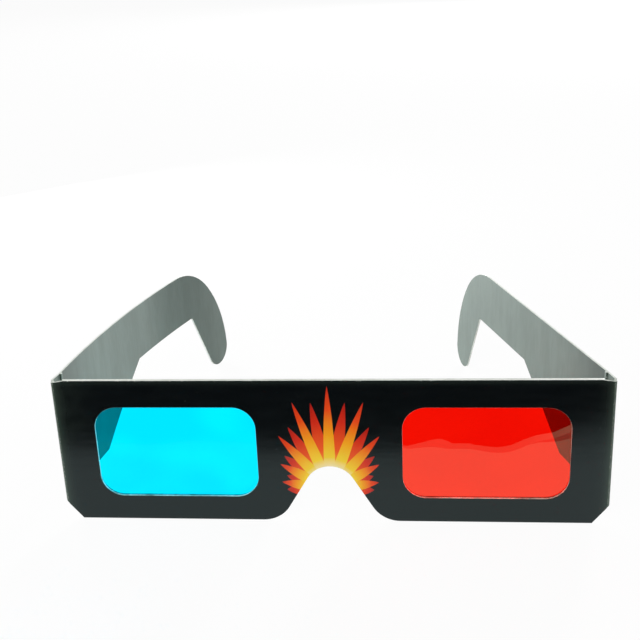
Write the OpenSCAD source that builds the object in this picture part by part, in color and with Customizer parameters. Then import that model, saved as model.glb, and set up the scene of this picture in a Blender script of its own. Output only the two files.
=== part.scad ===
// Folding card glasses with a red and a cyan film, standing open on a table.
// Left and right are the wearer's: the red lens is on the left, at +X.
// The printed face of the front looks along -Y, +Z is up, and the arms run back along +Y.
// The arms and spines fold about vertical creases. Each crease is a ridge of card whose radius is the
// thickness of the card, centred on the inner face, so the panels turn about it like the leaves of a hinge.

/* [Front] */
// Width of the folded front
front_w = 140.6; // [120:0.2:160]
// Height of the front
front_h = 39.5; // [34:0.5:46]
// Width of the slanted cut at each lower corner
corner_cut_w = 4.2; // [2:0.1:7]
// Height of the slanted cut, where the lower edges of the spines and arm roots start
corner_cut_h = 5.2; // [3:0.1:9]
// Card that the back panel leaves bare beside each crease
back_margin = 2.5; // [1.5:0.1:4]

/* [Windows] */
// Card between the two windows
bridge_w = 36.6; // [30:0.2:44]
// Card outside each window
side_rim = 10; // [7:0.1:14]
// Card above each window
top_rim = 7.2; // [5.5:0.1:10]
// Card below each window
bottom_rim = 6.8; // [5.5:0.1:10]
// Corner radius of a window
window_r = 6; // [2:0.5:9]
// How far a film reaches under the card round its window
lens_lap = 4; // [2:0.1:5]

/* [Nose notch] */
// Height of the notch
nose_h = 15.7; // [11:0.1:20]
// Radius of the top of the notch
nose_r = 6.7; // [5:0.1:8]
// Slant of the sides of the notch from upright, in degrees
nose_slant = 31; // [20:1:36]
// Radius that rounds the sides of the notch into the lower edge
nose_flare_r = 8; // [4:0.5:10]

/* [Card and film] */
// Thickness of one ply of card
card_t = 0.5; // [0.35:0.05:0.8]
// Thickness of a colour film and of the adhesive round it
film_t = 0.2; // [0.1:0.05:0.3]
// Gap between the edge of a film and the adhesive
film_gap = 0.3; // [0.2:0.05:0.6]
// Clearance between a crease ridge and the panels that turn about it
crease_gap = 0.04; // [0.02:0.01:0.08]

/* [Folds] */
// Distance between the two creases of a side
spine_len = 4.7; // [3:0.1:8]
// How far the left spine is folded back from the flat blank, in degrees
left_spine_fold = 105; // [88:1:110]
// How far the right spine is folded back from the flat blank, in degrees
right_spine_fold = 97; // [88:1:110]
// How far the left arm points inward from straight back, in degrees
left_arm_turn = 16.9; // [0:0.1:25]
// How far the right arm points inward from straight back at its crease, in degrees
right_arm_turn = 3; // [0:0.1:15]
// Radius to which the card of the right arm has bowed inward
right_arm_bow_r = 367; // [250:1:900]

/* [Arms] */
// Length of an arm from its crease to the back of the ear hook
arm_len = 110; // [90:1:130]
// Height of the slim part of an arm
arm_h = 16.5; // [12:0.5:20]
// Length of the deep root of an arm
root_len = 24.2; // [12:0.2:34]
// Length of the slope from the root up to the slim part
slope_len = 26.4; // [14:0.2:32]
// Length of the ear hook, from the ear gap to the back
hook_len = 22; // [18:0.2:30]
// Radius of the crown of the ear hook
hook_crown_r = 27; // [16:1:30]
// Radius of the back of the ear hook
hook_back_r = 40; // [34:1:60]
// Where the crown meets the back, in degrees from the top
hook_blend = 48; // [30:1:60]
// Radius of the tip that stands on the table
tip_r = 6; // [4:0.2:7]
// Radius of the corner where the ear gap meets the hook
ear_r = 1.5; // [0.8:0.1:3]

/* [Hidden] */

// One step of an arc, in degrees, and the facets of a crease ridge and of the bowed sheet
arc_step = 5;
round_fn = 96;
bow_fn = 1440;
// How far a cutting shape runs past what it cuts
over = 1;

// The creases lie on the inner face of the card, one thickness in from the outer corner of the front
crease_x = front_w / 2 - card_t;
crease_y = card_t;
// The front is two plies with the films and the adhesive between them
back_y = card_t + film_t;

// The slanted cut at a lower corner starts here and rises by this much per length
cut_from = front_w / 2 - corner_cut_w;
cut_slope = corner_cut_h / corner_cut_w;

// Windows, from the rims that are left round them
window_w = (front_w - bridge_w) / 2 - side_rim;
window_h = front_h - top_rim - bottom_rim;
window_x = bridge_w / 2 + window_w / 2;
window_z = bottom_rim + window_h / 2;

// Nose notch: an arc on top, slanted sides that touch it, and flares into the lower edge
nose_z = nose_h - nose_r;
side_x = nose_r * cos(nose_slant);
side_z = nose_z + nose_r * sin(nose_slant);
flare_x = side_x + (side_z - nose_flare_r) * tan(nose_slant) + nose_flare_r / cos(nose_slant);

// Slim part of an arm and the end of the slope
arm_z = front_h - arm_h;
slope_end = root_len + slope_len;

// Ear hook: the crown arc leaves the top edge, the back arc goes on from it, and the tip closes the hook
crown_z = front_h - hook_crown_r;
back_z = crown_z + (hook_crown_r - hook_back_r) * cos(hook_blend);
tip_x = arm_len - tip_r;
tip_end = asin((tip_r - back_z) / (hook_back_r - tip_r));
back_x = tip_x - (hook_back_r - tip_r) * cos(tip_end);
crown_x = back_x - (hook_crown_r - hook_back_r) * sin(hook_blend);

// The inner edge of the hook leaves the ear gap and touches the tip
ear_x = arm_len - hook_len;
to_tip = [tip_x - ear_x, tip_r - arm_z];
inner_dir = atan2(to_tip[1], to_tip[0]) - asin(tip_r / norm(to_tip));
ear_tangent = ear_r * tan(-inner_dir / 2);

// Folds from the flat blank, and the line from the crease to the end of the bowed arm
left_arm_fold = 90 + left_arm_turn - left_spine_fold;
right_arm_fold = 90 + right_arm_turn - right_spine_fold;
bow_lean = asin(arm_len / (2 * right_arm_bow_r));

// Depth of the part, and the origin below its middle
left_arm_y = crease_y + spine_len * sin(left_spine_fold);
right_arm_y = crease_y + spine_len * sin(right_spine_fold);
left_end_y = left_arm_y + arm_len * cos(left_arm_turn) + card_t * sin(left_arm_turn);
right_end_lean = right_arm_turn + bow_lean;
right_end_y = right_arm_y + arm_len * cos(right_end_lean) + card_t * sin(right_end_lean) / cos(bow_lean);
depth = max(left_end_y, right_end_y);

// Points of an arc about a centre, from one angle to another
function arc(centre, r, from, to) =
    let (steps = ceil(abs(to - from) / arc_step))
    [for (i = [0 : steps]) centre + r * [cos(from + (to - from) * i / steps), sin(from + (to - from) * i / steps)]];

// Half of the nose notch, from the lower edge up to its top
function half_notch() = concat(
    arc([flare_x, nose_flare_r], nose_flare_r, 270, 180 + nose_slant),
    arc([0, nose_z], nose_r, nose_slant, 90));

// Outline of the whole nose notch, closed below the lower edge
module nose_notch_2d() {
    half = half_notch();
    other_half = [for (i = [len(half) - 2 : -1 : 0]) [-half[i][0], half[i][1]]];
    polygon(concat([[flare_x, -over]], half, other_half, [[-flare_x, -over]]));
}

// Rectangle with round corners about the origin
module round_rect_2d(w, h, r) {
    x = w / 2 - r;
    z = h / 2 - r;
    polygon(concat(arc([x, z], r, 0, 90), arc([-x, z], r, 90, 180),
                   arc([-x, -z], r, 180, 270), arc([x, -z], r, 270, 360)));
}

// Outline of the front out to a half width, with its slanted lower corners, windows and notch
module front_2d(half_w) {
    difference() {
        polygon([[-cut_from, 0], [cut_from, 0], [half_w, (half_w - cut_from) * cut_slope],
                 [half_w, front_h], [-half_w, front_h], [-half_w, (half_w - cut_from) * cut_slope]]);
        for (side = [-1, 1])
            translate([side * window_x, window_z]) round_rect_2d(window_w, window_h, window_r);
        nose_notch_2d();
    }
}

// Film with its lap under the card, or the room for it when gap is added
module film_2d(side, gap = 0) {
    w = window_w + 2 * (lens_lap + gap);
    h = window_h + 2 * (lens_lap + gap);
    translate([side * window_x - w / 2, window_z - h / 2]) square([w, h]);
}

// Outline of an arm: length from the crease along x, height above the table along y
module arm_2d() {
    polygon(concat(
        [[0, corner_cut_h], [root_len, corner_cut_h], [slope_end, arm_z]],
        arc([ear_x - ear_tangent, arm_z - ear_r], ear_r, 90, 90 + inner_dir),
        arc([tip_x, tip_r], tip_r, 270 + inner_dir, 360 + tip_end),
        arc([back_x, back_z], hook_back_r, tip_end, 90 - hook_blend),
        arc([crown_x, crown_z], hook_crown_r, 90 - hook_blend, 90),
        [[0, front_h]]));
}

// Puts the origin below the middle of the part
module placed() translate([0, -depth / 2, 0]) children();

// Stands an outline up as a sheet of a thickness, with its front face at a depth
module sheet(depth_at, thickness)
    translate([0, depth_at + thickness, 0]) rotate([90, 0, 0]) linear_extrude(thickness) children();

// Frame of the blank at a front crease: x runs out along the blank and y out of its printed face
module right_side() placed() translate([-crease_x, crease_y, 0]) rotate([0, 0, 180]) children();
module left_side() mirror([1, 0, 0]) right_side() children();

// Folds what lies past a crease backward by an angle from flat
module folded(angle) rotate([0, 0, -angle]) children();

// Frame at the arm crease of a side, past a spine that is folded by an angle
module past_spine(angle) folded(angle) translate([spine_len, 0, 0]) children();

// Cylinder on an arm crease over the height of the arm roots
module crease_rod(r) translate([0, 0, corner_cut_h]) cylinder(r = r, h = front_h - corner_cut_h, $fn = round_fn);

// Ridge of a front crease, whose foot goes on with the slanted cut of the lower corner
module front_ridge() {
    reach = card_t + over;
    intersection() {
        cylinder(r = card_t, h = front_h, $fn = round_fn);
        rotate([90, 0, 0]) translate([0, 0, -reach]) linear_extrude(2 * reach)
            polygon([[-reach, corner_cut_h - cut_slope * (card_t + reach)], [reach, corner_cut_h + cut_slope * over],
                     [reach, front_h + over], [-reach, front_h + over]]);
    }
}

// Room for a crease ridge and its clearance in the end of a panel
module crease_room()
    translate([0, 0, -over]) cylinder(r = card_t + crease_gap, h = front_h + 2 * over, $fn = round_fn);

// Narrow panel between two creases
module spine_panel() {
    difference() {
        translate([0, 0, corner_cut_h]) cube([spine_len, card_t, front_h - corner_cut_h]);
        crease_room();
        translate([spine_len, 0, 0]) crease_room();
    }
}

// Flat arm from its crease
module flat_arm() {
    difference() {
        rotate([90, 0, 0]) translate([0, 0, -card_t]) linear_extrude(card_t) arm_2d();
        crease_room();
    }
}

// Arm whose card has bowed inward, cut from a curved sheet along the line from crease to hook
module bowed_arm() {
    reach = right_arm_bow_r + card_t;
    difference() {
        intersection() {
            translate([0, -right_arm_bow_r, 0]) linear_extrude(front_h) difference() {
                circle(r = reach, $fn = bow_fn);
                circle(r = right_arm_bow_r, $fn = bow_fn);
            }
            rotate([0, 0, -bow_lean]) rotate([90, 0, 0])
                translate([0, 0, -right_arm_bow_r / 4]) linear_extrude(right_arm_bow_r / 2) arm_2d();
        }
        crease_room();
    }
}

// Printed outer ply
module front_panel() {
    color("#16191b") placed() difference() {
        sheet(0, card_t) front_2d(crease_x);
        for (side = [-1, 1]) translate([side * crease_x, crease_y, 0]) crease_room();
    }
}

// Plain inner ply
module back_panel() color("#7f8984") placed() sheet(back_y, card_t) front_2d(crease_x - back_margin);

// Adhesive between the plies, round the films
module glue_layer() {
    color("#e9e4d2") placed() sheet(card_t, film_t) difference() {
        front_2d(crease_x - back_margin);
        for (side = [-1, 1]) film_2d(side, film_gap);
    }
}

// Colour films
module red_lens() color("#f01808") placed() sheet(card_t, film_t) film_2d(1);
module cyan_lens() color("#00d8f0") placed() sheet(card_t, film_t) film_2d(-1);

// Left side, from the front outward
module left_front_crease() color("#2b2f31") left_side() front_ridge();
module left_spine() color("#1b1e20") left_side() folded(left_spine_fold) spine_panel();
module left_arm_crease() color("#2b2f31") left_side() past_spine(left_spine_fold) crease_rod(card_t);
module left_arm() color("#1b1e20") left_side() past_spine(left_spine_fold) folded(left_arm_fold) flat_arm();

// Right side, from the front outward
module right_front_crease() color("#2b2f31") right_side() front_ridge();
module right_spine() color("#1b1e20") right_side() folded(right_spine_fold) spine_panel();
module right_arm_crease() color("#2b2f31") right_side() past_spine(right_spine_fold) crease_rod(card_t);
module right_arm() color("#1b1e20") right_side() past_spine(right_spine_fold) folded(right_arm_fold) bowed_arm();

front_panel();
back_panel();
glue_layer();
red_lens();
cyan_lens();
left_front_crease();
left_spine();
left_arm_crease();
left_arm();
right_front_crease();
right_spine();
right_arm_crease();
right_arm();
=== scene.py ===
# %% [markdown]
# Folding card glasses with a red and a cyan film, standing open on a table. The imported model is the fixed
# frame: thirteen solids on five bodies, in metres, with +Z up and the printed face towards -Y. Left and
# right are the wearer's, so the red film is on the left, at +X. This lesson dresses that frame. Card
# panels get soft die-cut edges and a finish for each side, films get their ripples, creases get crushed
# ridges, and a small studio shows it all from the photograph's place.

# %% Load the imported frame
import math

import bpy
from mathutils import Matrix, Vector


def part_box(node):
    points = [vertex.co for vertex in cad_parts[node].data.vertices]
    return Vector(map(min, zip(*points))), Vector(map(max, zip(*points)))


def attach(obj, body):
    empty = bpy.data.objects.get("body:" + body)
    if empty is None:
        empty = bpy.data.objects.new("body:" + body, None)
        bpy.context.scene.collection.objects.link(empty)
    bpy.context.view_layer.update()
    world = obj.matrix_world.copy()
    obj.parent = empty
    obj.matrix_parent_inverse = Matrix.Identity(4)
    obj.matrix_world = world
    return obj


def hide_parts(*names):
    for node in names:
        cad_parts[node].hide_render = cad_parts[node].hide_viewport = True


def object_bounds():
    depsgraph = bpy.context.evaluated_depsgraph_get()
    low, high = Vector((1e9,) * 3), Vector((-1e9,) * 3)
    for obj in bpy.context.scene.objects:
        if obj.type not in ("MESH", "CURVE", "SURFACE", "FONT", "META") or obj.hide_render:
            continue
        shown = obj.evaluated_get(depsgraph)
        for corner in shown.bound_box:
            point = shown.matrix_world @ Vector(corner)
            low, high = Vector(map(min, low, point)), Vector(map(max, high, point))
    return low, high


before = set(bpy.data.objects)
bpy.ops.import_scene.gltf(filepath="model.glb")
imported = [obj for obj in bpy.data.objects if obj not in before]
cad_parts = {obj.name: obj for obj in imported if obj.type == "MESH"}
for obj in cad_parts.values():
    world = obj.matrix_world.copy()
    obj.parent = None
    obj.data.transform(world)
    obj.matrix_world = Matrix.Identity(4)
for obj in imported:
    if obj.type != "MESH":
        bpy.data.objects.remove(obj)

MM = 0.001
scene = bpy.context.scene
cad_low, cad_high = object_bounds()
print("CAD box in mm:", [round(v / MM, 2) for v in (*cad_low, *cad_high)])

# %% [markdown]
# The camera comes first, because every finish is judged through it. It could be placed by eye, but the
# front is a flat panel of known size, so its corners, windows and notch fix the place, the turn and the
# focal length of the lens. It is a 57 mm lens, about 14 cm above the table and 23 cm in front of the
# glasses.

# %% Camera
IMAGE_SIDE = 640
SENSOR = 36
FOCAL_PIXELS = 1013.7
CAMERA_PLACE = (0.02246, -0.28534, 0.13860)
CAMERA_TURN = (70.093, 2.293, 4.998)

bpy.ops.object.camera_add(location=CAMERA_PLACE, rotation=[math.radians(a) for a in CAMERA_TURN])
camera = bpy.context.object
camera.name = "photo_camera"
camera.data.sensor_width = SENSOR
camera.data.lens = FOCAL_PIXELS * SENSOR / IMAGE_SIDE
scene.camera = camera
scene.view_settings.view_transform = "Standard"
print("camera lens in mm:", round(camera.data.lens, 2))

# %% [markdown]
# Node trees are long to wire by hand, so small helpers do what comes back in every finish. The first two
# fill or link the sockets of a node and add a node. The next ones build on them: a sum, a mix of two
# colours, a smooth step between two limits, the three axes of a place, a noise that is stretched along an
# axis, and a bump from a height in metres.

# %% Helpers for nodes
WHITE = (1, 1, 1, 1)
BLACK = (0, 0, 0, 1)
MIX_FACTOR, MIX_A, MIX_B, MIX_RESULT = 0, 6, 7, 2


def fill_sockets(tree, node, sockets):
    for socket, value in sockets.items():
        if isinstance(value, bpy.types.NodeSocket):
            tree.links.new(value, node.inputs[socket])
        else:
            node.inputs[socket].default_value = value


def add_node(tree, kind, sockets=None, **settings):
    node = tree.nodes.new("ShaderNode" + kind)
    for name, value in settings.items():
        setattr(node, name, value)
    fill_sockets(tree, node, sockets or {})
    return node


def calc(tree, operation, *values, clamp=False):
    sockets = dict(enumerate(values))
    return add_node(tree, "Math", sockets, operation=operation, use_clamp=clamp).outputs[0]


def mix_colour(tree, factor, colour_a, colour_b, blend="MIX"):
    sockets = {MIX_FACTOR: factor, MIX_A: colour_a, MIX_B: colour_b}
    return add_node(tree, "Mix", sockets, data_type="RGBA", blend_type=blend).outputs[MIX_RESULT]


def map_range(tree, value, low, high, to_low=0.0, to_high=1.0):
    sockets = {"Value": value, "From Min": low, "From Max": high, "To Min": to_low, "To Max": to_high}
    return add_node(tree, "MapRange", sockets, interpolation_type="SMOOTHSTEP").outputs[0]


def split_axes(tree, vector):
    return add_node(tree, "SeparateXYZ", {0: vector}).outputs


def stretched_noise(tree, vector, scale, detail):
    stretched = add_node(tree, "Mapping", {"Vector": vector, "Scale": scale}).outputs[0]
    sockets = {"Vector": stretched, "Scale": 1.0, "Detail": detail}
    return add_node(tree, "TexNoise", sockets).outputs["Fac"]


def add_bump(tree, height):
    return add_node(tree, "Bump", {"Height": height, "Distance": 1.0}).outputs[0]


print("helpers for nodes are ready")

# %% [markdown]
# Three more helpers start and close whole trees. One starts a node group with named sockets: a group
# holds an effect that several finishes share, and each finish gives it its own values. One starts a
# material that reads Object coordinates, so that a pattern stays with its piece. The last mixes two
# shaders for the output.

# %% Helpers for groups and materials
def new_group(name, inputs, outputs):
    group = bpy.data.node_groups.new(name, "ShaderNodeTree")
    for socket_name, kind, *value in inputs:
        socket = group.interface.new_socket(socket_name, in_out="INPUT", socket_type="NodeSocket" + kind)
        if value:
            socket.default_value = value[0]
    for socket_name, kind in outputs:
        group.interface.new_socket(socket_name, in_out="OUTPUT", socket_type="NodeSocket" + kind)
    entry = group.nodes.new("NodeGroupInput").outputs
    leave = group.nodes.new("NodeGroupOutput").inputs
    return group, entry, leave


def new_material(name):
    material = bpy.data.materials.new(name)
    material.use_nodes = True
    tree = material.node_tree
    place = add_node(tree, "TexCoord").outputs["Object"]
    return material, tree, tree.nodes["Principled BSDF"], place


def mix_into_output(tree, share, first, second, output="Material Output"):
    both = add_node(tree, "MixShader", {0: share, 1: first, 2: second}).outputs[0]
    tree.links.new(both, tree.nodes[output].inputs["Surface"])


print("helpers for groups and materials are ready")

# %% [markdown]
# The table is a plain pale sheet, and the photograph overexposes it to pure white. So the floor and the
# world are white to the camera, to gloss and to the films, and the floor keeps a share of its own
# shading, so that the glasses still stand in their shadow. A film takes light away and shows how bright
# the table really is, so paths through a film see it above white. All other rays see the world at a plain
# level of light.

# %% Floor
FLOOR_SIDE = 12
FLOOR_DROP = 0.00004
FLOOR_GREY = (0.9, 0.9, 0.9, 1)
FLOOR_ROUGHNESS = 0.9
FLOOR_WHITE_SHARE = 0.95
TABLE_BEHIND_FILM = 1.4
BEFORE_FIRST_BOUNCE = 0.5


def seen_directly(tree):
    path = add_node(tree, "LightPath").outputs
    seen = calc(tree, "ADD", path["Is Camera Ray"], path["Is Glossy Ray"])
    return calc(tree, "ADD", seen, path["Is Transmission Ray"], clamp=True)


def table_level(tree):
    path = add_node(tree, "LightPath").outputs
    no_bounce = calc(tree, "LESS_THAN", path["Diffuse Depth"], BEFORE_FIRST_BOUNCE)
    behind_film = calc(tree, "MULTIPLY", path["Is Transmission Ray"], no_bounce)
    return calc(tree, "MULTIPLY_ADD", behind_film, TABLE_BEHIND_FILM - 1, 1.0)


floor_paint, tree, shader, place = new_material("pale_floor")
fill_sockets(tree, shader, {"Base Color": FLOOR_GREY, "Roughness": FLOOR_ROUGHNESS,
                            "Specular IOR Level": 0.0})
glow = add_node(tree, "Emission", {"Color": WHITE, "Strength": table_level(tree)}).outputs[0]
share = calc(tree, "MULTIPLY", seen_directly(tree), FLOOR_WHITE_SHARE)
mix_into_output(tree, share, shader.outputs[0], glow)

bpy.ops.object.select_all(action="DESELECT")
bpy.ops.mesh.primitive_plane_add(size=FLOOR_SIDE, location=(0, 0, -FLOOR_DROP))
floor = bpy.context.object
floor.name = "floor"
floor.data.materials.append(floor_paint)
print("floor side in m:", FLOOR_SIDE)

# %% World
WORLD_LEVEL = 0.28

world = bpy.data.worlds.new("studio")
world.use_nodes = True
scene.world = world
tree = world.node_tree
lit = tree.nodes["Background"]
fill_sockets(tree, lit, {"Color": WHITE, "Strength": WORLD_LEVEL})
white = add_node(tree, "Background", {"Color": WHITE, "Strength": table_level(tree)}).outputs[0]
mix_into_output(tree, seen_directly(tree), lit.outputs[0], white, "World Output")
print("world level:", WORLD_LEVEL)

# %% [markdown]
# Three soft lamps shape the card. A small one behind the glasses, on the left of the picture, brightens
# the arm on the right towards its hook. A large one far behind brightens the root of the bowed arm. The
# third, above and left of the camera, is for the print, and its own reflection is switched off.

# %% Lamps
def soft_lamp(name, place, target, side, watts, glints=True):
    turn = (Vector(target) - Vector(place)).to_track_quat("-Z", "Y").to_euler()
    bpy.ops.object.light_add(type="AREA", location=place, rotation=turn)
    lamp = bpy.context.object
    lamp.name = name
    lamp.data.size = side
    lamp.data.energy = watts
    lamp.visible_camera = False
    lamp.visible_glossy = glints
    print(lamp.name, "watts:", watts)


soft_lamp("left_softbox", place=(-0.24, 0.32, 0.065), target=(0.05, 0.03, 0.02), side=0.12, watts=1.7)
soft_lamp("back_softbox", place=(0.86, 2.40, 0.28), target=(-0.06, -0.03, 0.02), side=0.50, watts=142.0)
soft_lamp("front_softbox", place=(-0.25, -0.75, 0.55), target=(0.0, -0.05, 0.02), side=0.60, watts=4.2,
          glints=False)

# %% [markdown]
# Gloss shows what lies in front of it. A black flag, a grey strip along its near edge and a dark wedge
# lie on the table in front of the glasses, as a photographer lays dark card beside gloss: only
# reflections see them. The strip and the wedge glow at set tones instead of taking light, so what they
# show in the gloss is painted reflection. The flag leaves the upper half of the varnish dark, and the
# edges of all three draw the bands in the red film. Each card is a grid of one row, whose columns are
# pushed to their places.

# %% Reflected cards
FRONT_FACE_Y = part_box("front_panel")[0].y
CARD_LIFT = 0.0004
CARD_HALF_WIDTH = 0.6
FLAG_START = 0.0425
FLAG_END = 0.6
WEDGE_END = 0.0386
TONE_TURN_START = 0.050
TONE_TURN_END = 0.068

# A column is a place along X, then the near and the far distance before the front
FLAG_COLUMNS = [(-CARD_HALF_WIDTH, FLAG_START, FLAG_END), (CARD_HALF_WIDTH, FLAG_START, FLAG_END)]
STRIP_COLUMNS = [(-CARD_HALF_WIDTH, 0.0424, FLAG_START), (0.012, 0.0422, FLAG_START),
                 (0.030, 0.0388, FLAG_START), (0.060, 0.0387, FLAG_START),
                 (CARD_HALF_WIDTH, 0.0366, FLAG_START)]
WEDGE_COLUMNS = [(0.052, WEDGE_END, WEDGE_END), (0.066, 0.0350, WEDGE_END), (0.100, 0.0340, WEDGE_END)]


def reflected_card(name, columns, tone, right_tone):
    material, tree, shader, place = new_material(name)
    across = split_axes(tree, place)["X"]
    # The card glows at a set tone instead of taking light: a painted reflection
    glow = map_range(tree, across, TONE_TURN_START, TONE_TURN_END, tone, right_tone)
    fill_sockets(tree, shader, {"Base Color": BLACK, "Specular IOR Level": 0.0,
                                "Emission Color": glow, "Emission Strength": 1.0})
    last = len(columns) - 1
    bpy.ops.object.select_all(action="DESELECT")
    bpy.ops.mesh.primitive_grid_add(x_subdivisions=last, y_subdivisions=1, size=1, location=(0, 0, CARD_LIFT))
    card = bpy.context.object
    card.name = name
    bpy.ops.object.transform_apply(location=True)
    for corner in card.data.vertices:
        x, near, far = columns[round((corner.co.x + 0.5) * last)]
        corner.co.x = x
        corner.co.y = FRONT_FACE_Y - (near if corner.co.y > 0 else far)
    card.data.materials.append(material)
    for ray in ("camera", "diffuse", "transmission", "shadow"):
        setattr(card, "visible_" + ray, False)
    print(card.name, "columns:", len(columns))


reflected_card("black_flag", FLAG_COLUMNS, tone=0.0, right_tone=0.0)
reflected_card("grey_strip", STRIP_COLUMNS, tone=0.5, right_tone=0.9)
reflected_card("dark_wedge", WEDGE_COLUMNS, tone=0.4, right_tone=0.4)

# %% [markdown]
# Card has a grain. The bare side of this board is grey with faint upright streaks from the paper machine,
# and a flat grey would look like plastic. The group stretches three sizes of noise upright, blotches,
# lines and fibres, tints the board with their sum, and gives the fibres as a height for a fine bump.

# %% Board grain group
BLOTCH_SCALE = (210, 210, 60)
LINE_SCALE = (700, 700, 70)
FIBRE_SCALE = (1800, 1800, 300)
BLOTCH_SHARE = 0.5
LINE_SHARE = 0.2
FIBRE_SHARE = 0.3
DARK_LIMIT = 0.38
LIGHT_LIMIT = 0.62

board_grain, entry, leave = new_group(
    "board_grain", [("Vector", "Vector"), ("Light", "Color"), ("Dark", "Color")],
    [("Color", "Color"), ("Height", "Float")])
blotches = stretched_noise(board_grain, entry["Vector"], BLOTCH_SCALE, detail=3.0)
lines = stretched_noise(board_grain, entry["Vector"], LINE_SCALE, detail=2.0)
fibres = stretched_noise(board_grain, entry["Vector"], FIBRE_SCALE, detail=4.0)
tint = calc(board_grain, "MULTIPLY", fibres, FIBRE_SHARE)
tint = calc(board_grain, "MULTIPLY_ADD", lines, LINE_SHARE, tint)
tint = calc(board_grain, "MULTIPLY_ADD", blotches, BLOTCH_SHARE, tint)
tint = map_range(board_grain, tint, DARK_LIMIT, LIGHT_LIMIT)
board_grain.links.new(mix_colour(board_grain, tint, entry["Dark"], entry["Light"]), leave["Color"])
board_grain.links.new(fibres, leave["Height"])
print("group:", board_grain.name)

# %% [markdown]
# A folded front is never quite flat. It leans a little, and beside the left crease it twists, so
# reflections climb there. This group gives that warp as a height in metres: the lean and the twist are
# slopes, and the twist grows between two places along the front. Print and film use it with their own
# slopes.

# %% Warp group
WARP_MIDDLE_Z = 0.020
TWIST_START_X = 0.040
TWIST_END_X = 0.070

warp, entry, leave = new_group(
    "warp", [("Vector", "Vector"), ("Lean", "Float"), ("Twist", "Float"),
             ("Start", "Float", TWIST_START_X), ("End", "Float", TWIST_END_X)], [("Height", "Float")])
axes = split_axes(warp, entry["Vector"])
grown = map_range(warp, axes["X"], entry["Start"], entry["End"])
slope = calc(warp, "MULTIPLY_ADD", grown, entry["Twist"], entry["Lean"])
above = calc(warp, "SUBTRACT", axes["Z"], WARP_MIDDLE_Z)
warp.links.new(calc(warp, "MULTIPLY", above, slope), leave["Height"])
print("group:", warp.name)

# %% [markdown]
# Varnished print is smooth but never flat: the sheet has a slow wave, and the varnish a fine peel that is
# drawn out sideways. The group gives both as one height in metres, so the reflection of the table wavers,
# and a roughness that follows the peel.

# %% Varnish group
WAVE_SCALE = (26, 26, 34)
WAVE_HEIGHT = 0.00025
PEEL_SCALE = (130, 130, 700)
PEEL_HEIGHT = 0.000015
PEEL_LOW = 0.3
PEEL_HIGH = 0.7
SMOOTH_VARNISH = 0.19
DULL_VARNISH = 0.25

varnish, entry, leave = new_group(
    "varnish", [("Vector", "Vector"), ("Wave", "Float", WAVE_HEIGHT), ("Peel", "Float", PEEL_HEIGHT)],
    [("Height", "Float"), ("Roughness", "Float")])
wave = stretched_noise(varnish, entry["Vector"], WAVE_SCALE, detail=1.0)
peel = stretched_noise(varnish, entry["Vector"], PEEL_SCALE, detail=2.0)
height = calc(varnish, "MULTIPLY", wave, entry["Wave"])
height = calc(varnish, "MULTIPLY_ADD", peel, entry["Peel"], height)
roughness = map_range(varnish, peel, PEEL_LOW, PEEL_HIGH, SMOOTH_VARNISH, DULL_VARNISH)
varnish.links.new(height, leave["Height"])
varnish.links.new(roughness, leave["Roughness"])
print("group:", varnish.name)

# %% [markdown]
# Print cracks and sheds where card is bent or rubbed, and dust settles on it. One group makes both masks:
# scuffs are thin upright flecks whose number follows an input, and dust is a few round specks.

# %% Wear group
FLECK_SCALE = (4200, 4200, 900)
FLECK_LIMIT = 0.78
FLECK_GAIN = 0.5
FLECK_SOFTNESS = 0.08
SPECK_SCALE = (90, 90, 90)
SPECK_RARITY = 0.9
SPECK_RADIUS = 0.014

wear, entry, leave = new_group(
    "wear", [("Vector", "Vector"), ("Amount", "Float"), ("Fineness", "Float")],
    [("Scuff", "Float"), ("Dust", "Float")])
finer = add_node(wear, "VectorMath", {0: entry["Vector"], "Scale": entry["Fineness"]}, operation="SCALE")
fleck = stretched_noise(wear, finer.outputs[0], FLECK_SCALE, detail=3.0)
edge = calc(wear, "SUBTRACT", FLECK_LIMIT, calc(wear, "MULTIPLY", entry["Amount"], FLECK_GAIN))
scuff = calc(wear, "DIVIDE", calc(wear, "SUBTRACT", fleck, edge), FLECK_SOFTNESS, clamp=True)
specks = add_node(wear, "Mapping", {"Vector": entry["Vector"], "Scale": SPECK_SCALE}).outputs[0]
cell = add_node(wear, "TexVoronoi", {"Vector": specks, "Scale": 1.0}).outputs
chance = add_node(wear, "SeparateColor", {0: cell["Color"]}).outputs[0]
few = calc(wear, "GREATER_THAN", chance, SPECK_RARITY)
near = calc(wear, "LESS_THAN", cell["Distance"], SPECK_RADIUS)
wear.links.new(scuff, leave["Scuff"])
wear.links.new(calc(wear, "MULTIPLY", few, near), leave["Dust"])
print("group:", wear.name)

# %% [markdown]
# The outside of the card is printed solid black and varnished. The black is a touch green and the varnish
# has the low gloss of a water-based coat, so its index is set below that of glass. One function puts the
# three groups on any ink, because the plain arms, the printed front and the cracked creases share this
# coat.

# %% Black print
BLACK_INK = (0.0030, 0.0043, 0.0050, 1)
PALE_FIBRE = (0.62, 0.66, 0.61, 1)
VARNISH_INDEX = 1.45
VARNISH_TINT = (0.78, 1.0, 0.99, 1)


def varnished(material_parts, colour, scuffs, fineness=1.0, lean=0.0, twist=0.0):
    material, tree, shader, place = material_parts
    coat = add_node(tree, "Group", {"Vector": place}, node_tree=varnish).outputs
    bent = add_node(tree, "Group", {"Vector": place, "Lean": lean, "Twist": twist}, node_tree=warp).outputs
    rub = {"Vector": place, "Amount": scuffs, "Fineness": fineness}
    rubbed = add_node(tree, "Group", rub, node_tree=wear).outputs
    shade = mix_colour(tree, rubbed["Scuff"], colour, PALE_FIBRE)
    shade = mix_colour(tree, rubbed["Dust"], shade, PALE_FIBRE)
    height = calc(tree, "ADD", coat["Height"], bent["Height"])
    fill_sockets(tree, shader, {"Base Color": shade, "Roughness": coat["Roughness"],
                                "Normal": add_bump(tree, height), "IOR": VARNISH_INDEX,
                                "Specular Tint": VARNISH_TINT})
    return material


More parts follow.
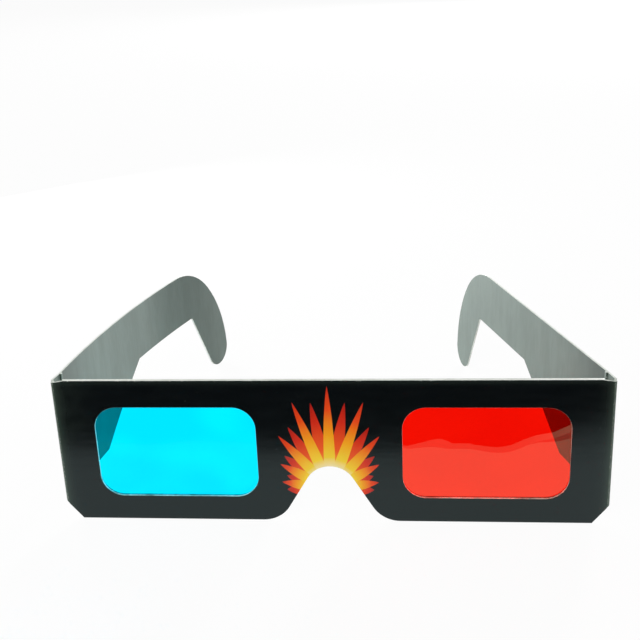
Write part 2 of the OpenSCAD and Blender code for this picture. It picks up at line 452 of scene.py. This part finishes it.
plain_black = varnished(new_material("plain_black_print"), BLACK_INK, scuffs=0.0)
print("finish:", plain_black.name)

# %% [markdown]
# A fan of colour is printed over the nose notch: two rings of tapered blades about the centre of the
# notch, pale yellow at the cut, then orange, with red tips. A picture could be used, but a blade is only
# a sum of the angle and the distance from one point, so it stays sharp at any size. One group makes both
# rings. A blade is long at the top of the fan and short at its sides, widens into a belly and then tapers
# to its tip.

# %% Blade ring group
FAN_STEP = math.radians(20)
FAN_ROOT = 0.0055
CROWN_POWER = 3.0
LOWER_CUT = 2.5
LEAST_REACH = FAN_ROOT + 0.0001
TAPER_POWER = 0.75
BELLY_START = 0.35
BELLY_POWER = 0.4
EDGE_SHARPNESS = 12000.0

blade_ring, entry, leave = new_group(
    "blade_ring",
    [("Angle", "Float"), ("Spread", "Float"), ("Shift", "Float"), ("Top Reach", "Float"),
     ("Side Reach", "Float"), ("Width", "Float")],
    [("Mask", "Float"), ("Along", "Float")])


def ring(operation, *values, clamp=False):
    return calc(blade_ring, operation, *values, clamp=clamp)


turned = ring("ADD", entry["Angle"], entry["Shift"])
off_axis = ring("PINGPONG", turned, FAN_STEP / 2)
axis = ring("SNAP", ring("ADD", turned, FAN_STEP / 2), FAN_STEP)
upright = ring("COSINE", ring("SUBTRACT", axis, entry["Shift"]))
crown = ring("POWER", ring("MAXIMUM", upright, 0.0), CROWN_POWER)
reach = ring("SUBTRACT", entry["Top Reach"], entry["Side Reach"])
reach = ring("MULTIPLY_ADD", reach, crown, entry["Side Reach"])
lower = ring("MULTIPLY_ADD", upright, LOWER_CUT, 1.0, clamp=True)
reach = ring("MAXIMUM", ring("MULTIPLY", reach, lower), LEAST_REACH)
ahead = ring("MULTIPLY", entry["Spread"], ring("COSINE", off_axis))
along = ring("DIVIDE", ring("SUBTRACT", ahead, FAN_ROOT), ring("SUBTRACT", reach, FAN_ROOT))
aside = ring("MULTIPLY", entry["Spread"], ring("SINE", off_axis))
taper = ring("POWER", ring("SUBTRACT", 1.0, along, clamp=True), TAPER_POWER)
belly = ring("POWER", ring("ADD", along, BELLY_START, clamp=True), BELLY_POWER)
half_width = ring("MULTIPLY", ring("MULTIPLY", taper, belly), entry["Width"])
mask = ring("MULTIPLY", ring("SUBTRACT", half_width, aside), EDGE_SHARPNESS, clamp=True)
blade_ring.links.new(mask, leave["Mask"])
blade_ring.links.new(along, leave["Along"])
print("group:", blade_ring.name)

# %% Printed fan over the notch
FAN_CENTRE_Z = 0.009
FORE_RING = {"Top Reach": 0.029, "Side Reach": 0.0125, "Width": 0.0022}
REAR_RING = {"Top Reach": 0.0255, "Side Reach": 0.0112, "Width": 0.0027, "Shift": FAN_STEP / 2}
FORE_INKS = [(0.0, (1.0, 0.92, 0.62)), (0.16, (1.0, 0.70, 0.03)), (0.42, (1.0, 0.40, 0.006)),
             (0.72, (0.90, 0.075, 0.006)), (1.0, (0.62, 0.016, 0.005))]
REAR_INKS = [(0.0, (1.0, 0.42, 0.02)), (0.3, (0.95, 0.11, 0.008)), (0.7, (0.72, 0.025, 0.006)),
             (1.0, (0.42, 0.010, 0.005))]


def colour_ramp(tree, value, inks):
    ramp = add_node(tree, "ValToRGB", {0: value})
    stops = ramp.color_ramp.elements
    # A new ramp already has two stops
    for position, colour in inks[2:]:
        stops.new(position)
    for stop, (position, colour) in zip(stops, inks):
        stop.position = position
        stop.color = (*colour, 1)
    return ramp.outputs["Color"]


printed_parts = new_material("printed_front")
tree, place = printed_parts[1], printed_parts[3]
axes = split_axes(tree, place)
rise = calc(tree, "SUBTRACT", axes["Z"], FAN_CENTRE_Z)
across_squared = calc(tree, "MULTIPLY", axes["X"], axes["X"])
rise_squared = calc(tree, "MULTIPLY", rise, rise)
polar = {"Angle": calc(tree, "ARCTAN2", axes["X"], rise),
         "Spread": calc(tree, "SQRT", calc(tree, "ADD", across_squared, rise_squared))}
front_colour = BLACK_INK
for sizes, inks in ((REAR_RING, REAR_INKS), (FORE_RING, FORE_INKS)):
    blades = add_node(tree, "Group", {**polar, **sizes}, node_tree=blade_ring).outputs
    ink = colour_ramp(tree, blades["Along"], inks)
    front_colour = mix_colour(tree, blades["Mask"], front_colour, ink)
print("blades in a full ring:", round(2 * math.pi / FAN_STEP))

# %% [markdown]
# Hands wear the print. Beside the folds the ink turns green-grey, partly rubbed and partly a painted sheen
# of the rounded fold. The ink is rubbed green-grey under the top rim too, and in patches at the cyan end,
# where a thumb holds the card. Scuffs, where bare fibre shows, gather at the top edge and beside the
# folds. All of it follows the place on the card, so it is mixed into the ink by distance from an edge.

# %% Rubbed and scuffed front, with a painted sheen beside the folds
RUB_AND_SHEEN_INK = (0.064, 0.093, 0.070, 1)
FOLD_FADE = 0.0010
RIM_RUB = 0.14
RIM_RUB_REACH = 0.0018
THUMB_RUB = 0.12
THUMB_REACH = 0.014
THUMB_LOW_Z = 0.016
THUMB_HIGH_Z = 0.028
PATCH_SCALE = (260, 260, 260)
PATCH_LOW = 0.35
PATCH_HIGH = 0.65
PATCH_LEAST = 0.3
TOP_SCUFF = 0.35
TOP_SCUFF_REACH = 0.0006
FOLD_SCUFF = 0.3
FOLD_SCUFF_REACH = 0.0016
FRONT_LEAN = math.radians(-1.3)
FRONT_TWIST = math.radians(4.2)

across = calc(tree, "ABSOLUTE", axes["X"])
from_fold = calc(tree, "SUBTRACT", across, cad_high.x)
# Green-grey beside each fold: rubbed ink and a painted sheen of the rounded fold
fold_rub_and_sheen = calc(tree, "EXPONENT", calc(tree, "DIVIDE", from_fold, FOLD_FADE))
under_rim = map_range(tree, axes["Z"], cad_high.z - RIM_RUB_REACH, cad_high.z, 0.0, RIM_RUB)
patches = stretched_noise(tree, place, PATCH_SCALE, detail=3.0)
patchy = map_range(tree, patches, PATCH_LOW, PATCH_HIGH, PATCH_LEAST, 1.0)
held_end = map_range(tree, axes["X"], cad_low.x + THUMB_REACH, cad_low.x, 0.0, THUMB_RUB)
thumbed = calc(tree, "MULTIPLY", held_end, map_range(tree, axes["Z"], THUMB_LOW_Z, THUMB_HIGH_Z))
for rub in (fold_rub_and_sheen, under_rim, calc(tree, "MULTIPLY", patchy, thumbed)):
    front_colour = mix_colour(tree, rub, front_colour, RUB_AND_SHEEN_INK)

near_top = map_range(tree, axes["Z"], cad_high.z - TOP_SCUFF_REACH, cad_high.z, 0.0, TOP_SCUFF)
near_fold = map_range(tree, across, cad_high.x - FOLD_SCUFF_REACH, cad_high.x, 0.0, FOLD_SCUFF)
printed_front = varnished(printed_parts, front_colour, calc(tree, "MAXIMUM", near_top, near_fold),
                          lean=FRONT_LEAN, twist=FRONT_TWIST)
print("finish:", printed_front.name)

# %% [markdown]
# Where there is no print, the board itself shows: the grey bare side, the pale core at a cut edge, the
# rougher edge of a window, the bead inside a fold, painted paler as a highlight, and dried adhesive,
# which has a like grain. One function makes them all. The inside of an arm is darker beside its fold,
# partly soil and partly painted shade of the fold, and on the bowed arm it has a soft kink, because real
# card bends most past its middle. The kink is a slope that only the light sees.

# %% Bare board and cut edges
ARM_FOLD_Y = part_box("left_arm")[0].y
SOIL_AND_SHADE_REACH = 0.022
SOIL_AND_SHADE_LEVEL = 0.5
KINK_START_Y = 0.006
KINK_END_Y = 0.052
KINK_RISE = 0.0032


def bare_card(name, light, dark, rough, index, fibre_height, tint=WHITE, fold_soil_and_shade=1.0, kink=0.0):
    material, tree, shader, place = new_material(name)
    sockets = {"Vector": place, "Light": light, "Dark": dark}
    grain = add_node(tree, "Group", sockets, node_tree=board_grain).outputs
    axes = split_axes(tree, place)
    on_bowed_arm = calc(tree, "LESS_THAN", axes["X"], 0.0)
    bend = map_range(tree, axes["Y"], KINK_START_Y, KINK_END_Y, 0.0, kink)
    bend = calc(tree, "MULTIPLY", on_bowed_arm, bend)
    height = calc(tree, "MULTIPLY_ADD", grain["Height"], fibre_height, bend)
    # Darker beside the arm's fold: part soil, part painted shade of the fold
    soil_and_shade = map_range(tree, axes["Y"], ARM_FOLD_Y, ARM_FOLD_Y + SOIL_AND_SHADE_REACH, fold_soil_and_shade, 1.0)
    colour = mix_colour(tree, 1.0, grain["Color"], soil_and_shade, "MULTIPLY")
    fill_sockets(tree, shader, {"Base Color": colour, "Normal": add_bump(tree, height), "Roughness": rough,
                                "IOR": index, "Specular Tint": tint})
    return material


GREY = {"light": (0.172, 0.215, 0.192, 1), "dark": (0.146, 0.182, 0.162, 1), "rough": 0.42, "index": 1.44,
        "fibre_height": 0.000002, "tint": (0.76, 1.0, 0.93, 1)}
grey_board = bare_card("grey_board", **GREY)
# Arm insides: soil and painted shade beside the fold, and the kink
soiled_shaded_board = bare_card("soiled_shaded_board", **GREY, fold_soil_and_shade=SOIL_AND_SHADE_LEVEL, kink=KINK_RISE)
cut_edge = bare_card("cut_edge", light=(0.86, 0.91, 0.85, 1), dark=(0.69, 0.73, 0.67, 1),
                     rough=0.85, index=1.3, fibre_height=0.00004)
window_edge = bare_card("window_edge", light=(0.72, 0.78, 0.66, 1), dark=(0.22, 0.25, 0.20, 1),
                        rough=0.7, index=1.4, fibre_height=0.00002)
# Pale bead inside an arm's fold: bare board, painted paler as a highlight
fold_bead_highlight = bare_card("fold_bead_highlight", light=(0.34, 0.40, 0.37, 1), dark=(0.22, 0.27, 0.25, 1),
                      rough=0.5, index=1.4, fibre_height=0.00001)
adhesive = bare_card("dried_adhesive", light=(0.78, 0.78, 0.70, 1), dark=(0.66, 0.66, 0.58, 1),
                     rough=0.4, index=1.45, fibre_height=0.00002)
print("finishes:", grey_board.name, soiled_shaded_board.name, cut_edge.name)
print("finishes:", window_edge.name, fold_bead_highlight.name, adhesive.name)

# %% [markdown]
# On a creased ridge the print has cracked so much that fibres show through it. It is the same varnished
# print, in a greyer ink that pales towards the outside of the fold, with many fine scuffs. On an arm
# ridge it also covers the sides round the pale bead, where its dark is painted shadow.

# %% Cracked crease, also painted shadow on the arm ridges
RIDGE_INSIDE = (0.036, 0.050, 0.038, 1)
RIDGE_OUTSIDE = (0.118, 0.153, 0.122, 1)
PALE_START = 0.0009
PALE_END = 0.0002
CREASE_SCUFF = 0.34
CREASE_FINENESS = 2.4

crease_parts = new_material("cracked_crease_and_shadow")
tree, place = crease_parts[1], crease_parts[3]
across = calc(tree, "ABSOLUTE", split_axes(tree, place)["X"])
outer = map_range(tree, across, cad_high.x - PALE_START, cad_high.x - PALE_END)
crease_ink_and_shadow = mix_colour(tree, outer, RIDGE_INSIDE, RIDGE_OUTSIDE)
cracked_crease_and_shadow = varnished(crease_parts, crease_ink_and_shadow, CREASE_SCUFF, CREASE_FINENESS)
print("finish:", cracked_crease_and_shadow.name)

# %% [markdown]
# The films are dyed polyester. Light crosses both faces, so the colour on the shader is the colour of the
# whole film, and a slow noise lets the dye drift between two tones. The red one shines and the cyan one
# hardly does, so each has its own index. Lamps pass through to the table, which a plain glass would
# block: a see-through shader stands in for shadow rays.

# %% Film finishes
DYE_SCALE = (45, 45, 70)
DYE_LOW = 0.35
DYE_HIGH = 0.65
FILM_TWIST = math.radians(5.0)
FILM_TWIST_START_X = 0.045


def film_finish(name, colour, thin_colour, index, tint, twist):
    material, tree, shader, place = new_material(name)
    drift = map_range(tree, stretched_noise(tree, place, DYE_SCALE, detail=1.0), DYE_LOW, DYE_HIGH)
    sockets = {"Vector": place, "Twist": twist, "Start": FILM_TWIST_START_X}
    bent = add_node(tree, "Group", sockets, node_tree=warp).outputs["Height"]
    fill_sockets(tree, shader, {"Base Color": mix_colour(tree, drift, colour, thin_colour),
                                "Normal": add_bump(tree, bent), "Specular Tint": tint,
                                "Transmission Weight": 1.0, "Roughness": 0.0, "IOR": index})
    clear = add_node(tree, "BsdfTransparent", {"Color": colour}).outputs[0]
    shadow = add_node(tree, "LightPath").outputs["Is Shadow Ray"]
    mix_into_output(tree, shadow, shader.outputs[0], clear)
    return material


red_dye = film_finish("red_dye", colour=(0.683, 0.0032, 0.0006, 1), thin_colour=(0.710, 0.0040, 0.0007, 1),
                      index=1.65, tint=(1, 1, 0.6, 1), twist=FILM_TWIST)
cyan_dye = film_finish("cyan_dye", colour=(0.0003, 0.594, 0.84, 1), thin_colour=(0.0003, 0.664, 0.90, 1),
                       index=1.10, tint=WHITE, twist=0.0)
print("finishes:", red_dye.name, cyan_dye.name)

# %% [markdown]
# Shaping by hand starts with picking what to shape. These helpers pick one object, the points that pass a
# test, or the sharp edges, which they bevel at once. A window is found from the film behind it: it is
# smaller than the film by the lap on each side.

# %% Helpers for shaping
LENS_LAP = 0.004
RIM = 0.00009
WINDOW_RIM = 0.0002
WINDOW_MARGIN = 4 * WINDOW_RIM
FRONT_PLY_DEPTH = 0.003
SHARP_RIM = math.radians(60)


def select_only(piece):
    bpy.ops.object.select_all(action="DESELECT")
    piece.select_set(True)
    bpy.context.view_layer.objects.active = piece


def select_points(piece, test):
    bpy.ops.object.mode_set(mode="OBJECT")
    for point in piece.data.vertices:
        point.select = test(point.co)
    for shape in (*piece.data.edges, *piece.data.polygons):
        shape.select = False
    bpy.ops.object.mode_set(mode="EDIT")
    bpy.ops.mesh.select_mode(type="VERT")


def in_window(point):
    low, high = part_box("red_lens")
    lap = LENS_LAP - WINDOW_MARGIN
    inside_x = low.x + lap < abs(point.x) < high.x - lap
    inside_z = low.z + lap < point.z < high.z - lap
    return inside_x and inside_z and point.y < FRONT_FACE_Y + FRONT_PLY_DEPTH


def bevel_sharp_edges(piece, width, test=None):
    bpy.ops.mesh.select_all(action="DESELECT")
    bpy.ops.mesh.edges_select_sharp(sharpness=SHARP_RIM)
    if test:
        bpy.ops.object.mode_set(mode="OBJECT")
        corners = piece.data.vertices
        for edge in piece.data.edges:
            middle = (corners[edge.vertices[0]].co + corners[edge.vertices[1]].co) / 2
            edge.select = edge.select and test(middle)
        bpy.ops.object.mode_set(mode="EDIT")
    bpy.ops.mesh.bevel(offset=width, segments=2, affect="EDGES", clamp_overlap=True)


print("rim and window rim in mm:", RIM / MM, WINDOW_RIM / MM)

# %% [markdown]
# The panels are die-cut card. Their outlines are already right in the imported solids, so each panel starts
# as a copy of its solid: the loose triangles are merged, flat faces are joined, and the sharp rims get a
# narrow bevel, because a die presses the edge of card a little round. The bevel also carries the pale
# core. Round the windows of the print the die leaves a pale burr, so those rims are pressed inwards and
# get a wider bevel.

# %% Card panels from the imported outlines
WINDOW_BURR = 0.0002
MERGE_DISTANCE = 0.000002
FLAT_ANGLE = math.radians(0.1)
SMOOTH_ANGLE = math.radians(12)
FACING = 0.9
FLAT = 0.99
CORE, OUTSIDE, INSIDE, WINDOW = range(4)


def press_burr_into_windows(piece):
    for lens in ("red_lens", "cyan_lens"):
        low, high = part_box(lens)
        middle = (low + high) / 2
        opening = high - low - Vector((2 * LENS_LAP, 0, 2 * LENS_LAP))
        half = (high.x - low.x) / 2
        select_points(piece, lambda p: in_window(p) and abs(p.x - middle.x) < half)
        shrink = (1 - 2 * WINDOW_BURR / opening.x, 1, 1 - WINDOW_BURR / opening.z)
        foot = (middle.x, middle.y, low.z + LENS_LAP)
        bpy.ops.transform.resize(value=shrink, center_override=foot)


def card_panel(node, name, windows=False):
    piece = bpy.data.objects.new(name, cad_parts[node].data.copy())
    scene.collection.objects.link(piece)
    piece.data.materials.clear()
    select_only(piece)
    bpy.ops.object.mode_set(mode="EDIT")
    bpy.ops.mesh.customdata_custom_splitnormals_clear()
    bpy.ops.mesh.select_all(action="SELECT")
    bpy.ops.mesh.remove_doubles(threshold=MERGE_DISTANCE)
    bpy.ops.mesh.dissolve_limited(angle_limit=FLAT_ANGLE)
    if windows:
        press_burr_into_windows(piece)
    bpy.ops.mesh.select_mode(type="EDGE")
    if windows:
        bevel_sharp_edges(piece, WINDOW_RIM, lambda p: in_window(p) and p.y < FRONT_FACE_Y + RIM)
    bevel_sharp_edges(piece, RIM)
    bpy.ops.object.mode_set(mode="OBJECT")
    bpy.ops.object.shade_smooth_by_angle(angle=SMOOTH_ANGLE)
    return piece


def finish_sides(piece, outward, outside, inside):
    for material in (cut_edge, outside, inside, window_edge):
        piece.data.materials.append(material)
    for face in piece.data.polygons:
        facing = face.normal.dot(outward)
        if in_window(face.center) and abs(facing) < FLAT:
            face.material_index = WINDOW
        else:
            face.material_index = OUTSIDE if facing > FACING else INSIDE if facing < -FACING else CORE


print("burr in mm:", WINDOW_BURR / MM)

# %% [markdown]
# The front is two plies. The printed ply runs into the folds, which have crushed its two upper corners,
# so it is cut beside each fold and the top edge outside the cut is pushed down. The back ply is plain
# board that ends before the folds and needs nothing more than its rims.

# %% Front and back plies
FORWARD = Vector((0, -1, 0))
CRUSH_START_X = 0.0668
CORNER_CRUSH = 0.00045
CRUSH_BAND = 3 * RIM


def in_crushed_corner(point):
    return abs(point.x) > CRUSH_START_X + RIM and point.z > cad_high.z - CRUSH_BAND


front_card = card_panel("front_panel", "front_card", windows=True)
select_only(front_card)
bpy.ops.object.mode_set(mode="EDIT")
for cut_x in (-CRUSH_START_X, CRUSH_START_X):
    bpy.ops.mesh.select_all(action="SELECT")
    bpy.ops.mesh.bisect(plane_co=(cut_x, 0, 0), plane_no=(1, 0, 0))
select_points(front_card, in_crushed_corner)
bpy.ops.transform.translate(value=(0, 0, -CORNER_CRUSH))
bpy.ops.object.mode_set(mode="OBJECT")
finish_sides(front_card, FORWARD, printed_front, grey_board)
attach(front_card, "front")
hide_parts("front_panel")

back_card = card_panel("back_panel", "back_card")
finish_sides(back_card, -FORWARD, grey_board, grey_board)
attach(back_card, "front")
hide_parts("back_panel")
print("front and back faces:", len(front_card.data.polygons), len(back_card.data.polygons))

# %% [markdown]
# Spines and arms are the rest of the printed blank: black print outside and bare board inside. They need
# no shaping beyond their rims, so one loop makes all four. Only the arms get the board that is darker
# beside its fold, by soil and by painted shade, so the spines stay plain grey board.

# %% Spines and arms
SIDES = {"left": 1, "right": -1}
INSIDE_FINISH = {"spine": grey_board, "arm": soiled_shaded_board}
for side, sign in SIDES.items():
    for part, inside in INSIDE_FINISH.items():
        node = f"{side}_{part}"
        panel = card_panel(node, node + "_card")
        finish_sides(panel, Vector((sign, 0, 0)), plain_black, inside)
        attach(panel, node)
        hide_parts(node)
        print(panel.name, "faces:", len(panel.data.polygons))

# %% [markdown]
# A crease is where card was scored and folded. Its fibres are crushed into a ridge that is cracked
# outside and shows as a bead inside the fold. Each ridge starts as a cylinder on the fold line. The die
# cuts the corner of the front at a slant, so a front ridge gets a slanted foot by a bisect. Then the
# ridge is cut into short rings, and a cloud texture presses it in here and there, never out, so it stays
# clear of the panels.

# %% Crease ridges
RIDGE_SIDES = 40
RIDGE_RINGS = 90
RIDGE_DENT = 0.00005
RIDGE_SHARP = math.radians(30)
RIDGE_SMOOTH = math.radians(40)
UPRIGHT_WALL = 0.5
FRONT_BEAD_LIMIT = 0.1
# On an arm ridge the faces turned into the fold take the bead painted as a highlight; the rest keep the dark
# crease finish, which on the sides is painted shadow
ARM_HIGHLIGHT_LIMIT = -0.45
CRACKED_AND_SHADED, BEAD = 1, 2

crush = bpy.data.textures.new("crush", "CLOUDS")
crush.noise_scale = 0.0011
crush.noise_depth = 2


def slant_foot(foot, slope):
    bpy.ops.object.mode_set(mode="EDIT")
    bpy.ops.mesh.select_all(action="SELECT")
    bpy.ops.mesh.bisect(plane_co=foot, plane_no=(slope, 0, -1), use_fill=True, clear_outer=True)
    bpy.ops.mesh.select_all(action="SELECT")
    bpy.ops.mesh.normals_make_consistent(inside=False)
    bpy.ops.object.mode_set(mode="OBJECT")


def cut_into_rings(ridge, radius):
    for edge in ridge.data.edges:
        ends = [ridge.data.vertices[i].co.z for i in edge.vertices]
        edge.select = abs(ends[0] - ends[1]) > radius
    for face in ridge.data.polygons:
        face.select = False
    bpy.ops.object.mode_set(mode="EDIT")
    bpy.ops.mesh.select_mode(type="EDGE")
    bpy.ops.mesh.subdivide(number_cuts=RIDGE_RINGS)
    bpy.ops.mesh.select_all(action="DESELECT")
    bpy.ops.mesh.edges_select_sharp(sharpness=RIDGE_SHARP)
    bpy.ops.mesh.bevel(offset=RIM, segments=2, affect="EDGES")
    bpy.ops.object.mode_set(mode="OBJECT")


def press_dents(ridge):
    press = ridge.modifiers.new("press", "DISPLACE")
    press.texture = crush
    press.texture_coords = "LOCAL"
    press.strength = RIDGE_DENT
    press.mid_level = 1.0
    bpy.ops.object.modifier_apply(modifier=press.name)
    bpy.ops.object.shade_smooth_by_angle(angle=RIDGE_SMOOTH)


def crease_ridge(node, name, body, outward, bead_limit, bead_finish, crushed=0.0, foot_rise=0.0):
    low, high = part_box(node)
    high.z -= crushed
    radius = (high.x - low.x) / 2
    bpy.ops.object.select_all(action="DESELECT")
    bpy.ops.mesh.primitive_cylinder_add(vertices=RIDGE_SIDES, radius=radius, depth=high.z - low.z,
                                        location=(low + high) / 2)
    ridge = bpy.context.object
    ridge.name = name
    bpy.ops.object.transform_apply(location=True)
    if foot_rise:
        foot = ((low.x + high.x) / 2, (low.y + high.y) / 2, low.z + foot_rise / 2)
        slant_foot(foot, math.copysign(foot_rise / (2 * radius), outward.x))
    cut_into_rings(ridge, radius)
    press_dents(ridge)
    for material in (cut_edge, cracked_crease_and_shadow, bead_finish):
        ridge.data.materials.append(material)
    for face in ridge.data.polygons:
        if abs(face.normal.z) >= UPRIGHT_WALL:
            face.material_index = CORE
        else:
            face.material_index = CRACKED_AND_SHADED if face.normal.dot(outward) > bead_limit else BEAD
    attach(ridge, body)
    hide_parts(node)
    print(ridge.name, "faces:", len(ridge.data.polygons))


for side, sign in SIDES.items():
    corner = Vector((sign, -1, 0)).normalized()
    foot_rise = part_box(f"{side}_spine")[0].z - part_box(f"{side}_front_crease")[0].z
    crease_ridge(f"{side}_front_crease", f"{side}_front_ridge", "front", corner, FRONT_BEAD_LIMIT, grey_board,
                 crushed=CORNER_CRUSH, foot_rise=foot_rise)
    crease_ridge(f"{side}_arm_crease", f"{side}_arm_ridge", f"{side}_spine", Vector((sign, 0, 0)),
                 ARM_HIGHLIGHT_LIMIT, fold_bead_highlight)

# %% [markdown]
# A film is glued only round its rim, so it ripples in the window. Each film starts as a fine grid, and
# single points are pulled forward or back with a soft falloff, as with proportional editing by hand. The
# rim is hidden from the pulls, so it stays flat between the plies. A Solidify modifier gives it its
# thickness.

# %% Colour films
FILM_CELL = 0.0005
FILM_SMOOTH = math.radians(40)

# A pull is a place along X and Z, the radius of its falloff and its lift towards the print, all in mm
RED_PULLS = [(23.1, 17.7, 7.1, 0.105), (25.0, 25.8, 7.1, 0.118), (30.8, 19.7, 10.9, 0.016),
             (43.4, 25.3, 8.9, -0.14), (47.1, 17.3, 11.3, -0.113)]
CYAN_PULLS = [(-48.0, 19.0, 10.0, 0.05), (-33.0, 20.0, 11.0, -0.05)]


def pull_film(film, x, z, radius, lift):
    bpy.ops.object.mode_set(mode="OBJECT")
    free = [point.co for point in film.data.vertices if not point.hide]
    spot = min(free, key=lambda p: (p.x - x) ** 2 + (p.z - z) ** 2).copy()
    select_points(film, lambda p: (p - spot).length < FILM_CELL / 2)
    bpy.ops.transform.translate(value=(0, -lift, 0), use_proportional_edit=True,
                                proportional_edit_falloff="SMOOTH", proportional_size=radius)


def colour_film(node, name, finish, pulls):
    low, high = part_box(node)
    width, height, thick = high.x - low.x, high.z - low.z, high.y - low.y
    bpy.ops.object.select_all(action="DESELECT")
    bpy.ops.mesh.primitive_grid_add(x_subdivisions=round(width / FILM_CELL),
                                    y_subdivisions=round(height / FILM_CELL), size=1,
                                    location=(low + high) / 2, rotation=(math.pi / 2, 0, 0))
    film = bpy.context.object
    film.name = name
    film.scale = (width, height, 1)
    bpy.ops.object.transform_apply(location=True, rotation=True, scale=True)

    def in_opening(point):
        inside_x = low.x + LENS_LAP < point.x < high.x - LENS_LAP
        return inside_x and low.z + LENS_LAP < point.z < high.z - LENS_LAP

    select_points(film, lambda p: not in_opening(p))
    bpy.ops.mesh.hide()
    for pull in pulls:
        pull_film(film, *[value * MM for value in pull])
    bpy.ops.mesh.reveal()
    bpy.ops.object.mode_set(mode="OBJECT")
    depths = [point.co.y - (low.y + high.y) / 2 for point in film.data.vertices]
    wall = film.modifiers.new("wall", "SOLIDIFY")
    wall.thickness = thick
    wall.offset = 0
    bpy.ops.object.modifier_apply(modifier=wall.name)
    bpy.ops.object.shade_smooth_by_angle(angle=FILM_SMOOTH)
    film.data.materials.append(finish)
    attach(film, "front")
    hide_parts(node)
    print(film.name, "ripple in mm:", [round(depth / MM, 3) for depth in (min(depths), max(depths))])


colour_film("red_lens", "red_film", red_dye, RED_PULLS)
colour_film("cyan_lens", "cyan_film", cyan_dye, CYAN_PULLS)

# %% [markdown]
# The adhesive between the plies shows only as a hairline at the cut edges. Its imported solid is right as
# it is, so it stays and takes a better finish in its own slot.

# %% Adhesive
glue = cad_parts["glue_layer"]
glue.data.materials.clear()
glue.data.materials.append(adhesive)
print("kept solid:", glue.name)
